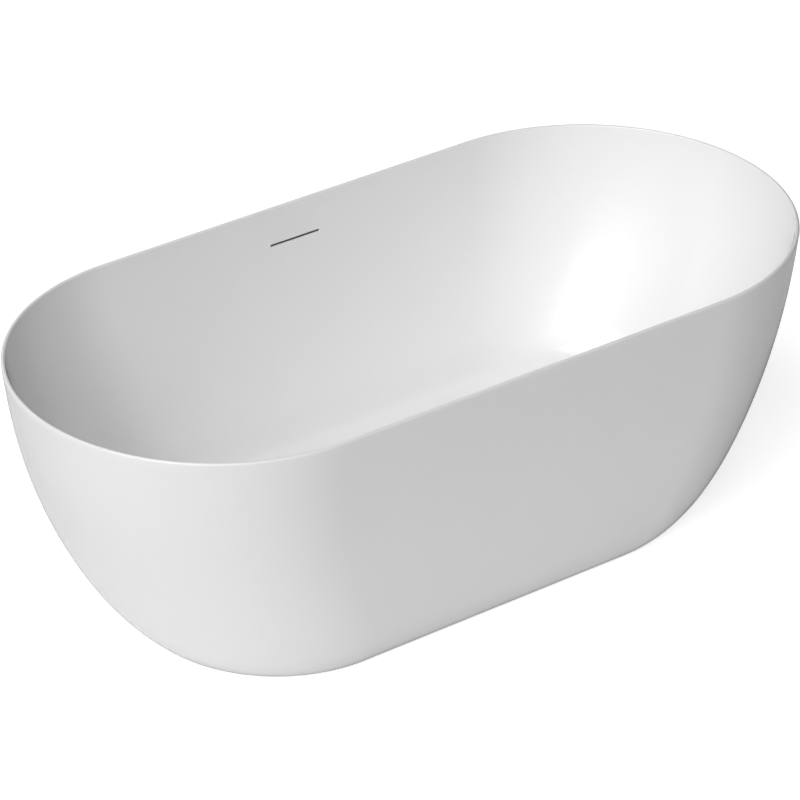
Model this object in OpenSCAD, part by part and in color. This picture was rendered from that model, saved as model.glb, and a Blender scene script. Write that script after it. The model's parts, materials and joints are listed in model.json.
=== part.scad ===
// Freestanding double-ended bathtub: an acrylic basin and an acrylic skirt joined at a thin rim,
// carried by a steel frame on four levelling feet, with a slot overflow and a push-to-open drain.
// Origin: centre of the footprint on the floor. +X along the bath, +Y towards the overflow, +Z up.

/* [Bath] */
// Overall length
bath_length = 1650; // [1350:10:2000]
// Overall width
bath_width = 800; // [660:10:960]
// Height of the rim above the floor
bath_height = 580; // [480:5:700]
// Height of the inside floor above the ground
floor_height = 150; // [145:1:170]
// Gap between the lower edge of the skirt and the ground
skirt_gap = 2; // [1:0.5:6]

/* [Outer skirt] */
// Wall of the skirt
skirt_wall = 3.5; // [3:0.1:4.5]
// How far each side leans in from rim to base
side_lean = 55; // [40:1:66]
// How far each lower side edge rolls in under the bath
side_roll = 71; // [60:1:86]
// Sharpness of that roll
side_roll_power = 7.5; // [6:0.1:9]
// How far the ends sweep in, beyond what the sides do
end_sweep = 119; // [99:1:143]
// Width of the flange turned in at the foot of the skirt
flange_width = 25; // [22:1:30]
// Thickness of that flange
flange_thickness = 6; // [5:0.5:8]

/* [Basin] */
// Wall of the basin
basin_wall = 3.5; // [3:0.1:4.5]
// Width of the adhesive between basin and skirt at the rim
bond_width = 1; // [0.8:0.1:1.2]
// Depth of the rim's turned lip
lip_depth = 12; // [10:1:16]
// How far each inner side leans in
basin_side_lean = 95; // [90:1:114]
// How far each inner side rounds into the floor
basin_side_roll = 72; // [60:1:86]
// How far the inner ends sweep in, beyond what the inner sides do
basin_end_sweep = 80; // [67:1:96]
// Thickness of the reinforced floor at its edge
floor_thickness = 10; // [9:0.5:12]
// How far the floor falls towards the drain
floor_fall = 5; // [4:0.5:6]

/* [Overflow] */
// Length of the slot in the inner wall
slot_length = 115; // [90:1:140]
// Height of the slot
slot_height = 5; // [4.8:0.1:6]
// Depth of the slot below the rim
slot_drop = 72; // [64:1:86]
// Outer radius of the overflow hose
hose_radius = 9; // [7.5:0.1:11]
// Wall of the overflow hose
hose_wall = 2; // [1.6:0.1:2.4]
// Radius of the hose's bend under the bath
hose_bend = 60; // [50:1:72]

/* [Drain] */
// Outer radius of the threaded drain barrel
barrel_radius = 24; // [20:0.1:29]
// How far the drain flange stands out beyond the barrel
drain_flange_lip = 12; // [10:0.5:15]
// Wall of the drain barrel
barrel_wall = 4; // [3:0.1:4.8]
// Outer radius of the tailpiece's shank
tailpiece_radius = 19; // [16:0.1:19.5]
// Outer radius of the outlet at its lower end, for a waste pipe socket
outlet_radius = 20; // [20:0.1:24]
// Lift of the stopper from closed to open
stopper_lift = 9; // [7:0.5:10]

/* [Frame and feet] */
// Side of the square frame tubes
tube_side = 25; // [20:1:30]
// Wall of the frame tubes
tube_wall = 1.5; // [1.2:0.1:2.5]
// Thickness of the board under the basin
board_thickness = 15; // [12:1:18]
// Thread radius of the levelling studs
stud_radius = 6; // [5:0.1:7.2]
// Radius of the foot pads
pad_radius = 22; // [18:0.1:26.5]
// Travel of the levelling feet
foot_travel = 20; // [15:1:24]

/* [Hidden] */

// Small sizes shared by several pieces.
round_steps = 96;
cut = 1;
slip = 0.1;
running = 0.05;
clear = 0.3;

// Rim and its round-over. Both walls are measured down from the height where the round begins.
rim_width = skirt_wall + bond_width + basin_wall;
rim_radius = rim_width / 2;
wall_top = bath_height - rim_radius;
lip_z = bath_height - lip_depth;
half_width = bath_width / 2;
end_reach = (bath_length - bath_width) / 2;
sweep_power = 2.4;
sweep_depth = 1.7;
roll_depth = 0.92;
floor_roll_power = 5;
floor_roll_depth = 0.45;
bond_depth = 28;

// Levels and points of the lofted shells.
arc_steps = 24;
skirt_levels = 15;
basin_levels = 16;
rim_steps = 6;

// Half width and end-centre reach of the skirt at the share u of its depth.
function skirt_half(u) = half_width - side_lean * u
    - side_roll * (1 - pow(1 - pow(u, side_roll_power), roll_depth));
function skirt_reach(u) = end_reach - end_sweep * (1 - pow(1 - pow(u, sweep_power), sweep_depth));

// Half width and end-centre reach of the basin's inner face at the share t of its depth.
function basin_half(t) = half_width - rim_width - basin_side_lean * t
    - basin_side_roll * (1 - pow(1 - pow(t, floor_roll_power), floor_roll_depth));
function basin_reach(t) = end_reach
    - basin_end_sweep * (1 - pow(1 - pow(t, sweep_power), sweep_depth));

// The skirt's outer face, the skirt's inner face, the basin's back and its inner face,
// each as [half width, end-centre reach, height] at a share of its own depth.
skirt_foot_z = skirt_gap;
flange_top = skirt_foot_z + flange_thickness;
floor_under = floor_height - floor_thickness;
function skirt_outer(u) = [skirt_half(u), skirt_reach(u), wall_top - u * (wall_top - skirt_foot_z)];
function skirt_inner(u) =
    [skirt_half(u) - skirt_wall, skirt_reach(u), wall_top - u * (wall_top - flange_top)];
function basin_back(t) =
    [basin_half(t) + basin_wall, basin_reach(t), wall_top - t * (wall_top - floor_under)];
function basin_inner(t) =
    [basin_half(t), basin_reach(t), wall_top - t * (wall_top - floor_height)];

// Where the straight sides of those faces stand at a height z.
function skirt_side(z) = skirt_inner((wall_top - z) / (wall_top - flange_top)).x;
function back_side(z) = basin_back((wall_top - z) / (wall_top - floor_under)).x;
function gap_middle(z) = (skirt_side(z) + back_side(z)) / 2;

lip_share_outer = (wall_top - lip_z) / (wall_top - skirt_foot_z);
lip_share_inner = (wall_top - lip_z) / (wall_top - flange_top);
lip_share_back = (wall_top - lip_z) / (wall_top - floor_under);
bond_z = lip_z - bond_depth;
bond_share_inner = (wall_top - bond_z) / (wall_top - flange_top);
bond_share_back = (wall_top - bond_z) / (wall_top - floor_under);

// Footprint of the skirt and of the basin floor.
base_half = skirt_half(1);
base_reach = skirt_reach(1);
floor_half = basin_half(1);
floor_reach = basin_reach(1);

// Frame under the basin.
board_z = floor_under - board_thickness;
rail_z = board_z - tube_side;
cross_z = rail_z - tube_side;
foot_x = base_reach + 95;
foot_y = base_half - 84;
rail_y = foot_y - 20;
rail_half_length = foot_x + 60;
cross_half_length = foot_y + pad_radius + 3;
board_edge = 20;
screw_radius = 2.5;
screw_head_radius = 5;
screw_head = 3;
screw_bite = board_thickness - 3;
screw_stations = [-1, 0, 1];
screw_pitch = foot_x - 100;
bracket_wall = 3;
bracket_width = 30;
bracket_rise = 20;
spacer_length = 60;
spacer_height = 40;
spacer_x = 0.6 * end_reach;
spacer_drop = 0.6 * (bath_height - floor_height);
spacer_steps = 4;

// Levelling feet.
nut_radius = 1.8 * stud_radius;
weld_nut_height = 12;
lock_nut_height = 8;
stud_top = cross_z + foot_travel + 3;
pad_height = 14;
socket_floor = 5;
hex_z = pad_height + 2;
hex_height = 6;

// Drain stack, from the floor of the recess down to the open end of the tailpiece.
drain_flange_radius = barrel_radius + drain_flange_lip;
recess_z = floor_height - floor_fall - 2;
recess_radius = drain_flange_radius + 4;
seal_thickness = 1;
drain_hole_radius = barrel_radius + 2;
drain_flange_z = recess_z + seal_thickness;
seat_z = drain_flange_z + 2;
drain_flange_top = drain_flange_z + 5;
drain_flange_edge = 1.5;
barrel_bore = barrel_radius - barrel_wall;
barrel_end = floor_under - 45;
lower_seal = 3;
lock_ring_height = 10;
lock_ring_radius = barrel_radius + 13;
body_top = floor_under - 18;
inlet_z = rail_z - screw_head - hose_radius - 3;
body_floor = inlet_z - 19;
body_radius = barrel_radius + 6;
neck_radius = tailpiece_radius + 4;
neck_end = body_floor - 16;
inlet_reach = body_radius + 42;
inlet_boss = hose_radius + 2;
hose_bore = hose_radius - hose_wall;
spigot_radius = hose_bore - slip;
spigot_bore = spigot_radius - 1.5;
slip_washer_height = 3;
slip_nut_grip = 8;
slip_nut_lip = 3;
slip_nut_radius = neck_radius + 6;
slip_nut_low = neck_end - slip_washer_height - slip_nut_lip;
tailpiece_wall = 1.8;
outlet_length = 25;
outlet_end = slip_nut_low - 3 - outlet_length;
stem_radius = 4;
guide_radius = 8;
guide_top = drain_flange_z - 6;
guide_length = 30;
guide_arm = 3;
stem_grip = 17;
cap_radius = drain_flange_radius - 5.5;
cap_seal_inner = barrel_bore + 2;
cap_seal_outer = cap_seal_inner + 5;
cap_z = seat_z + seal_thickness;
stem_length = cap_z - guide_top + stopper_lift + stem_grip;
cap_rim = 1.8;
cap_crown = 3.4;

// Overflow chamber and the line of its hose, in the gap behind the rear wall.
slot_z = bath_height - slot_drop;
chamber_top = slot_z + 16;
gap_taper = 19;
slot_gap_radius = (skirt_side(slot_z) - back_side(slot_z)) / 2 - 2 * slip;
chamber_floor = slot_z - gap_taper * (hose_radius - slot_gap_radius);
chamber_wall = 1.2;
chamber_length = slot_length + 16;
gasket_thickness = 1.5;
gasket_floor = slot_z - 16;
mouth_margin = 4;
spigot_length = 24;
hose_start = chamber_floor - 3;
hose_lean = atan((gap_middle(chamber_floor - 13) - gap_middle(chamber_floor - 175)) / 162);
hose_top_y = gap_middle(chamber_floor - 13) + tan(hose_lean) * (hose_start - chamber_floor + 13);
bend_z = inlet_z + hose_bend;
bend_y = hose_top_y - tan(hose_lean) * (hose_start - bend_z + hose_bend * sin(hose_lean))
    - hose_bend * cos(hose_lean);
hose_end_y = inlet_reach - 18;
hose_sides = 16;
hose_bend_steps = 8;
clamp_wall = 1;
clamp_width = 6;
clamp_setback = 9;

// Corners of a stadium outline: two half circles of radius half joined by straight sides.
function stadium(half, reach) = concat(
    [for (i = [0 : arc_steps]) let (a = -90 + 180 * i / arc_steps)
        [reach + half * cos(a), half * sin(a)]],
    [for (i = [0 : arc_steps]) let (a = 90 + 180 * i / arc_steps)
        [half * cos(a) - reach, half * sin(a)]]
);

// A closed solid through stadium sections [half width, end-centre reach, height].
// With loop set, the last section joins the first; otherwise both ends are capped.
module loft(sections, loop = false) {
    n = 2 * (arc_steps + 1);
    m = len(sections);
    points = [for (s = sections) for (p = stadium(s[0], s[1])) [p.x, p.y, s[2]]];
    spans = loop ? m : m - 1;
    sides = [for (i = [0 : spans - 1]) for (j = [0 : n - 1])
        let (a = i * n, b = ((i + 1) % m) * n, k = (j + 1) % n)
        each [[a + j, b + j, b + k], [a + j, b + k, a + k]]];
    caps = loop ? [] : [[for (j = [0 : n - 1]) j], [for (j = [n - 1 : -1 : 0]) (m - 1) * n + j]];
    polyhedron(points = points, faces = concat(sides, caps), convexity = 8);
}

// Shares of the depth from one value to another, closer together near the base.
function eased(from, levels, power) =
    [for (i = [0 : levels]) from + (1 - from) * (1 - pow(1 - i / levels, power))];

module ring(outer, inner, low, high) {
    translate([0, 0, low])
        difference() {
            cylinder(r = outer, h = high - low, $fn = round_steps);
            translate([0, 0, -cut])
                cylinder(r = inner, h = high - low + 2 * cut, $fn = round_steps);
        }
}

module hex_nut(radius, bore, low, high) {
    translate([0, 0, low])
        difference() {
            cylinder(r = radius, h = high - low, $fn = 6);
            translate([0, 0, -cut])
                cylinder(r = bore, h = high - low + 2 * cut, $fn = round_steps);
        }
}

// Draws its children as an outline across the bath (Y to the right, Z up) and runs it along X.
module along_x(length) {
    rotate([90, 0, 90])
        linear_extrude(height = length, center = true)
            children();
}

module at_feet() {
    for (x = [-foot_x, foot_x])
        for (y = [-foot_y, foot_y])
            translate([x, y, 0])
                children();
}

module at_bracket_holes() {
    for (x = [-foot_x, foot_x])
        for (y = [-bracket_hole_y, bracket_hole_y])
            translate([x, y, 0])
                children();
}

// The flange's inner edge and the skirt's inner wall in line with the feet.
flange_edge_y = sqrt(pow(base_half - flange_width, 2) - pow(foot_x - base_reach, 2));
bracket_end_y = sqrt(pow(base_half - skirt_wall, 2)
    - pow(foot_x - base_reach + bracket_width / 2, 2)) - 4;
bracket_hole_y = (flange_edge_y + bracket_end_y) / 2;
bracket_screw_hole = 3;

// Slot overflow, drain hole and drain recess are cut and shaped in the basin.
module basin() {
    back = [for (t = eased(bond_share_back, basin_levels, 1.8)) basin_back(t)];
    inner = [for (t = eased(0, basin_levels, 1.8)) basin_inner(t)];
    rim = [for (i = [0 : rim_steps]) let (a = 180 * i / rim_steps)
        [half_width - rim_radius + rim_radius * cos(a), end_reach, wall_top + rim_radius * sin(a)]];
    lip = skirt_outer(lip_share_outer);
    low_floor = floor_height - floor_fall;
    difference() {
        loft(concat(
            [for (i = [basin_levels : -1 : 0]) back[i]],
            [basin_back(lip_share_back)],
            [lip],
            rim,
            [for (i = [1 : basin_levels]) inner[i]],
            [[(floor_half + recess_radius) / 2, floor_reach / 2, floor_height - floor_fall / 2]],
            [[recess_radius + 4, 0, low_floor]],
            [[recess_radius, 0, recess_z]]
        ));
        translate([0, half_width - rim_width, slot_z])
            cube([slot_length, 2 * (rim_width + basin_side_lean / 4), slot_height], center = true);
        translate([0, 0, floor_under - cut])
            cylinder(r = drain_hole_radius, h = floor_thickness + 2 * cut, $fn = round_steps);
    }
}

// The basin is one moulding, kept as two nodes that meet at the middle of its length.
module basin_end(side) {
    color("white")
        intersection() {
            basin();
            translate([side * bath_length / 2, 0, bath_height / 2])
                cube([bath_length, bath_width + 2 * cut, bath_height + 2 * cut], center = true);
        }
}

module basin_left() {
    basin_end(-1);
}

module basin_right() {
    basin_end(1);
}

module outer_skirt() {
    outer = [for (u = eased(lip_share_outer, skirt_levels, 1.5)) skirt_outer(u)];
    inner = [for (u = eased(bond_share_inner, skirt_levels, 1.5)) skirt_inner(u)];
    color("white")
        difference() {
            loft(concat(
                outer,
                [[base_half - flange_width, base_reach, skirt_foot_z]],
                [[base_half - flange_width, base_reach, flange_top]],
                [for (i = [skirt_levels : -1 : 0]) inner[i]],
                [skirt_inner(lip_share_inner)]
            ), loop = true);
            at_bracket_holes()
                translate([0, 0, skirt_foot_z + 1])
                    cylinder(r = screw_radius + slip, h = flange_thickness + cut, $fn = round_steps);
        }
}

// A wedge of adhesive paste that joins the two shells right round, under the lip.
module rim_bond() {
    color("gainsboro")
        loft([
            basin_back(lip_share_back) + [slip, 0, 0],
            basin_back(bond_share_back) + [slip, 0, 0],
            skirt_inner(bond_share_inner) - [slip, 0, 0],
            skirt_inner(lip_share_inner) - [slip, 0, 0]
        ], loop = true);
}

module board_outline() {
    board_half = floor_half - board_edge;
    square([2 * floor_reach, 2 * board_half], center = true);
    for (x = [-floor_reach, floor_reach])
        translate([x, 0])
            circle(r = board_half, $fn = round_steps);
}

module at_board_screws() {
    for (y = [-rail_y, rail_y])
        for (s = screw_stations)
            translate([s * screw_pitch, y, 0])
                children();
}

module base_board() {
    color("burlywood")
        difference() {
            translate([0, 0, board_z])
                linear_extrude(height = board_thickness)
                    board_outline();
            translate([0, 0, board_z - cut])
                cylinder(r = lock_ring_radius + 8, h = board_thickness + 2 * cut, $fn = round_steps);
            at_board_screws()
                translate([0, 0, board_z - cut])
                    cylinder(r = screw_radius + slip, h = screw_bite + cut, $fn = round_steps);
        }
}

module square_tube(length) {
    rotate([0, 90, 0])
        linear_extrude(height = length, center = true)
            difference() {
                square(tube_side, center = true);
                square(tube_side - 2 * tube_wall, center = true);
            }
}

module rail(y) {
    color("silver")
        difference() {
            translate([0, y, rail_z + tube_side / 2])
                square_tube(2 * rail_half_length);
            for (s = screw_stations)
                translate([s * screw_pitch, y, rail_z - cut])
                    cylinder(r = screw_radius + slip, h = tube_side + 2 * cut, $fn = round_steps);
        }
}

module rail_front() {
    rail(-rail_y);
}

module rail_rear() {
    rail(rail_y);
}

// Plastic plugs that close the four rail ends.
module rail_caps() {
    plug = tube_side - 2 * tube_wall - 2 * slip;
    color("dimgray")
        for (side = [-1, 1])
            for (y = [-rail_y, rail_y])
                translate([side * rail_half_length, y, rail_z + tube_side / 2])
                    union() {
                        translate([side * 1.5, 0, 0])
                            cube([3, tube_side, tube_side], center = true);
                        translate([-side * 7.5, 0, 0])
                            cube([15, plug, plug], center = true);
                    }
}

module cross_member(x) {
    color("silver")
        difference() {
            translate([x, 0, cross_z + tube_side / 2])
                rotate([0, 0, 90])
                    square_tube(2 * cross_half_length);
            for (y = [-foot_y, foot_y])
                translate([x, y, cross_z - cut])
                    cylinder(r = stud_radius + clear, h = tube_side + 2 * cut, $fn = round_steps);
        }
}

module cross_member_left() {
    cross_member(-foot_x);
}

module cross_member_right() {
    cross_member(foot_x);
}

module weld_nuts() {
    color("silver")
        at_feet()
            hex_nut(nut_radius, stud_radius + running, cross_z - weld_nut_height, cross_z);
}

module lock_nuts() {
    top = cross_z - weld_nut_height;
    color("lightgray")
        at_feet()
            hex_nut(nut_radius, stud_radius + running, top - lock_nut_height, top);
}

// A levelling stud: a plain round end that turns in the pad, a spanner hexagon and the thread.
module levelling_stud(x, y) {
    color("lightgray")
        translate([x, y, 0])
            union() {
                translate([0, 0, socket_floor])
                    cylinder(r = stud_radius, h = stud_top - socket_floor, $fn = round_steps);
                translate([0, 0, hex_z])
                    cylinder(r = nut_radius, h = hex_height, $fn = 6);
            }
}

module stud_front_left() {
    levelling_stud(-foot_x, -foot_y);
}

module stud_front_right() {
    levelling_stud(foot_x, -foot_y);
}

module stud_rear_left() {
    levelling_stud(-foot_x, foot_y);
}

module stud_rear_right() {
    levelling_stud(foot_x, foot_y);
}

module foot_pad(x, y) {
    socket = stud_radius + running;
    color("dimgray")
        translate([x, y, 0])
            rotate_extrude($fn = round_steps)
                polygon([
                    [0, 0],
                    [pad_radius - 1, 0],
                    [pad_radius, 1],
                    [pad_radius, 4],
                    [pad_radius - 2, 6],
                    [socket + 5, pad_height - 2],
                    [socket + 3, pad_height],
                    [socket, pad_height],
                    [socket, socket_floor],
                    [0, socket_floor]
                ]);
}

module pad_front_left() {
    foot_pad(-foot_x, -foot_y);
}

module pad_front_right() {
    foot_pad(foot_x, -foot_y);
}

module pad_rear_left() {
    foot_pad(-foot_x, foot_y);
}

module pad_rear_right() {
    foot_pad(foot_x, foot_y);
}

module board_screws() {
    color("silver")
        at_board_screws()
            union() {
                translate([0, 0, rail_z - screw_head])
                    cylinder(r = screw_head_radius, h = screw_head, $fn = round_steps);
                translate([0, 0, rail_z - cut])
                    cylinder(r = screw_radius, h = tube_side + screw_bite + cut, $fn = round_steps);
            }
}

// Steel angles from the ends of the cross members down to the flange of the skirt.
module skirt_brackets() {
    leg_top = cross_z + bracket_rise;
    color("silver")
        for (x = [-foot_x, foot_x])
            for (side = [-1, 1])
                translate([x, 0, 0])
                    difference() {
                        mirror([0, side < 0 ? 1 : 0, 0])
                            along_x(bracket_width)
                                polygon([
                                    [cross_half_length, flange_top],
                                    [bracket_end_y, flange_top],
                                    [bracket_end_y, flange_top + bracket_wall],
                                    [cross_half_length + bracket_wall, flange_top + bracket_wall],
                                    [cross_half_length + bracket_wall, leg_top],
                                    [cross_half_length, leg_top]
                                ]);
                        translate([0, side * bracket_hole_y, flange_top - cut])
                            cylinder(r = bracket_screw_hole, h = bracket_wall + 2 * cut, $fn = round_steps);
                    }
}

module bracket_screws() {
    head_z = flange_top + bracket_wall;
    color("silver")
        at_bracket_holes()
            union() {
                translate([0, 0, head_z])
                    cylinder(r = screw_head_radius, h = screw_head, $fn = round_steps);
                translate([0, 0, skirt_foot_z + 1.5])
                    cylinder(r = screw_radius, h = head_z - skirt_foot_z, $fn = round_steps);
            }
}

// Rigid foam blocks that keep the two long walls apart.
module wall_spacers() {
    high = bath_height - spacer_drop;
    levels = [for (i = [0 : spacer_steps]) high - spacer_height * i / spacer_steps];
    color("khaki")
        for (x = [-spacer_x, spacer_x])
            for (side = [-1, 1])
                translate([x, 0, 0])
                    mirror([0, side < 0 ? 1 : 0, 0])
                        along_x(spacer_length)
                            polygon(concat(
                                [for (z = levels) [back_side(z) + 2 * clear, z]],
                                [for (i = [spacer_steps : -1 : 0])
                                    [skirt_side(levels[i]) - 2 * clear, levels[i]]]
                            ));
}

module overflow_gasket() {
    color("black")
        difference() {
            along_x(chamber_length)
                polygon([
                    [back_side(gasket_floor) + slip, gasket_floor],
                    [back_side(gasket_floor) + slip + gasket_thickness, gasket_floor],
                    [back_side(chamber_top) + slip + gasket_thickness, chamber_top],
                    [back_side(chamber_top) + slip, chamber_top]
                ]);
            translate([0, back_side(slot_z), slot_z])
                cube([slot_length + mouth_margin, 6 * gasket_thickness, slot_height + mouth_margin],
                    center = true);
        }
}

// The chamber's front follows the basin's back, and its rear follows the skirt.
module overflow_box() {
    front = slip + gasket_thickness;
    inside_top = chamber_top - chamber_wall;
    inside_floor = chamber_floor + chamber_wall;
    inside_length = chamber_length - 2 * chamber_wall;
    mouth_y = back_side(slot_z) + front;
    spigot_y = hose_top_y + tan(hose_lean) * (chamber_floor - hose_start);
    color("dimgray")
        difference() {
            union() {
                along_x(chamber_length)
                    polygon([
                        [back_side(chamber_floor) + front, chamber_floor],
                        [skirt_side(chamber_floor) - clear, chamber_floor],
                        [skirt_side(chamber_top) - clear, chamber_top],
                        [back_side(chamber_top) + front, chamber_top],
                        [back_side(gasket_floor) + front, gasket_floor]
                    ]);
                translate([0, spigot_y, chamber_floor])
                    rotate([180 - hose_lean, 0, 0])
                        translate([0, 0, -chamber_wall])
                            cylinder(r = spigot_radius, h = spigot_length, $fn = round_steps);
            }
            along_x(inside_length)
                polygon([
                    [back_side(inside_floor) + front + chamber_wall, inside_floor],
                    [skirt_side(inside_floor) - clear - chamber_wall, inside_floor],
                    [skirt_side(inside_top) - clear - chamber_wall, inside_top],
                    [back_side(inside_top) + front + chamber_wall, inside_top]
                ]);
            translate([0, mouth_y, slot_z])
                cube([slot_length + mouth_margin, 3 * chamber_wall, slot_height + mouth_margin],
                    center = true);
            translate([0, spigot_y, chamber_floor])
                rotate([180 - hose_lean, 0, 0])
                    translate([0, 0, -4 * chamber_wall])
                        cylinder(r = spigot_bore, h = 2 * spigot_length, $fn = round_steps);
        }
}

// Stations of the hose's line as [y, z, tilt of the section]: a leaning drop, a bend, a level run.
// Both ends are carried on by the length extra.
function hose_stations(extra) = concat(
    [[hose_top_y + extra * sin(hose_lean), hose_start + extra * cos(hose_lean), hose_lean]],
    [for (i = [0 : hose_bend_steps]) let (a = hose_lean + (90 - hose_lean) * i / hose_bend_steps)
        [bend_y + hose_bend * cos(a), bend_z - hose_bend * sin(a), a]],
    [[hose_end_y - extra, inlet_z, 90]]
);

// A solid along the hose's line whose flats stand at the given radius from it.
module hose_sweep(radius, extra) {
    corner = radius / cos(180 / hose_sides);
    stations = hose_stations(extra);
    m = len(stations);
    points = [for (s = stations) for (j = [0 : hose_sides - 1]) let (a = 360 * j / hose_sides)
        [corner * cos(a), s[0] + corner * sin(a) * cos(s[2]), s[1] - corner * sin(a) * sin(s[2])]];
    sides = [for (i = [0 : m - 2]) for (j = [0 : hose_sides - 1])
        let (p = i * hose_sides, q = p + hose_sides, k = (j + 1) % hose_sides)
        each [[p + j, q + k, q + j], [p + j, p + k, q + k]]];
    caps = [
        [for (j = [hose_sides - 1 : -1 : 0]) j],
        [for (j = [0 : hose_sides - 1]) (m - 1) * hose_sides + j]
    ];
    polyhedron(points = points, faces = concat(sides, caps), convexity = 4);
}

module overflow_hose() {
    color("gray")
        difference() {
            hose_sweep(hose_radius, 0);
            hose_sweep(hose_bore, cut);
        }
}

module hose_clamps() {
    inner = hose_radius / cos(180 / hose_sides) + running;
    color("silver") {
        translate([0, hose_top_y, hose_start])
            rotate([180 - hose_lean, 0, 0])
                ring(inner + clamp_wall, inner, clamp_setback, clamp_setback + clamp_width);
        translate([0, hose_end_y + clamp_setback, inlet_z])
            rotate([90, 0, 0])
                ring(inner + clamp_wall, inner, 0, clamp_width);
    }
}

module drain_flange() {
    color("gainsboro")
        rotate_extrude($fn = round_steps)
            polygon([
                [barrel_bore, barrel_end],
                [barrel_radius, barrel_end],
                [barrel_radius, drain_flange_z],
                [drain_flange_radius, drain_flange_z],
                [drain_flange_radius, drain_flange_top - drain_flange_edge],
                [drain_flange_radius - drain_flange_edge, drain_flange_top],
                [cap_radius + 1, drain_flange_top],
                [cap_radius + 1, seat_z],
                [barrel_bore, seat_z]
            ]);
}

module drain_seal_upper() {
    color("black")
        ring(drain_flange_radius - 1, barrel_radius + slip, recess_z, drain_flange_z);
}

module drain_seal_lower() {
    color("black")
        ring(lock_ring_radius, barrel_radius + slip, floor_under - lower_seal, floor_under);
}

module drain_lock_nut() {
    high = floor_under - lower_seal;
    color("ivory")
        hex_nut(lock_ring_radius, barrel_radius + slip, high - lock_ring_height, high);
}

module drain_body() {
    color("ivory")
        difference() {
            union() {
                translate([0, 0, body_floor])
                    cylinder(r = body_radius, h = body_top - body_floor, $fn = round_steps);
                translate([0, 0, neck_end])
                    cylinder(r = neck_radius, h = body_floor - neck_end + cut, $fn = round_steps);
                translate([0, 0, inlet_z])
                    rotate([-90, 0, 0])
                        cylinder(r = inlet_boss, h = body_radius + 8, $fn = round_steps);
                translate([0, 0, inlet_z])
                    rotate([-90, 0, 0])
                        cylinder(r = spigot_radius, h = inlet_reach, $fn = round_steps);
            }
            translate([0, 0, barrel_end])
                cylinder(r = barrel_radius + slip, h = body_top - barrel_end + cut, $fn = round_steps);
            translate([0, 0, body_floor + 4])
                cylinder(r = barrel_bore, h = barrel_end - body_floor, $fn = round_steps);
            translate([0, 0, neck_end - cut])
                cylinder(r = tailpiece_radius + slip, h = body_floor + 4 - neck_end, $fn = round_steps);
            translate([0, 0, neck_end])
                cylinder(r = tailpiece_radius - tailpiece_wall, h = barrel_end - neck_end,
                    $fn = round_steps);
            translate([0, 0, inlet_z])
                rotate([-90, 0, 0])
                    cylinder(r = spigot_bore, h = inlet_reach + cut, $fn = round_steps);
        }
}

module slip_washer() {
    color("black")
        ring(neck_radius, tailpiece_radius + slip, neck_end - slip_washer_height, neck_end);
}

module slip_nut() {
    color("ivory")
        difference() {
            translate([0, 0, slip_nut_low])
                cylinder(r = slip_nut_radius, h = slip_nut_lip + slip_washer_height + slip_nut_grip,
                    $fn = 8);
            translate([0, 0, slip_nut_low - cut])
                cylinder(r = tailpiece_radius + clear, h = slip_nut_lip + 2 * cut, $fn = round_steps);
            translate([0, 0, slip_nut_low + slip_nut_lip])
                cylinder(r = neck_radius + slip, h = slip_washer_height + slip_nut_grip + cut,
                    $fn = round_steps);
        }
}

module tailpiece() {
    bore = tailpiece_radius - tailpiece_wall;
    shoulder = outlet_end + outlet_length;
    color("ivory")
        rotate_extrude($fn = round_steps)
            polygon([
                [bore, outlet_end],
                [outlet_radius, outlet_end],
                [outlet_radius, shoulder],
                [tailpiece_radius, shoulder],
                [tailpiece_radius, body_floor + 2],
                [bore, body_floor + 2]
            ]);
}

// A hub on four arms, fixed in the drain barrel, in which the stopper's stem slides.
module plunger_guide() {
    arm_reach = barrel_bore - slip;
    color("ivory")
        translate([0, 0, guide_top - guide_length])
            difference() {
                union() {
                    cylinder(r = guide_radius, h = guide_length, $fn = round_steps);
                    intersection() {
                        cylinder(r = arm_reach, h = guide_length, $fn = round_steps);
                        union() {
                            translate([-arm_reach, -guide_arm / 2, 0])
                                cube([2 * arm_reach, guide_arm, guide_length / 2]);
                            translate([-guide_arm / 2, -arm_reach, 0])
                                cube([guide_arm, 2 * arm_reach, guide_length / 2]);
                        }
                    }
                }
                translate([0, 0, -cut])
                    cylinder(r = stem_radius + running, h = guide_length + 2 * cut, $fn = round_steps);
            }
}

module plunger_stem() {
    color("silver")
        translate([0, 0, cap_z - stem_length])
            cylinder(r = stem_radius, h = stem_length, $fn = round_steps);
}

module stopper_seal() {
    color("black")
        ring(cap_seal_outer, cap_seal_inner, seat_z, cap_z);
}

module stopper_cap() {
    color("gainsboro")
        rotate_extrude($fn = round_steps)
            polygon([
                [0, cap_z],
                [cap_radius, cap_z],
                [cap_radius, cap_z + cap_rim],
                [cap_radius - 1, cap_z + cap_rim + 0.7],
                [cap_radius / 2, cap_z + cap_crown - 0.3],
                [0, cap_z + cap_crown]
            ]);
}

basin_left();
basin_right();
outer_skirt();
rim_bond();
base_board();
rail_front();
rail_rear();
rail_caps();
cross_member_left();
cross_member_right();
weld_nuts();
lock_nuts();
stud_front_left();
stud_front_right();
stud_rear_left();
stud_rear_right();
pad_front_left();
pad_front_right();
pad_rear_left();
pad_rear_right();
board_screws();
skirt_brackets();
bracket_screws();
wall_spacers();
overflow_gasket();
overflow_box();
overflow_hose();
hose_clamps();
drain_flange();
drain_seal_upper();
drain_seal_lower();
drain_lock_nut();
drain_body();
slip_nut();
slip_washer();
tailpiece();
plunger_guide();
plunger_stem();
stopper_seal();
stopper_cap();
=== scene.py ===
"""Looks of a freestanding double-ended bathtub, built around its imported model. All sizes are in metres."""

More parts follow.
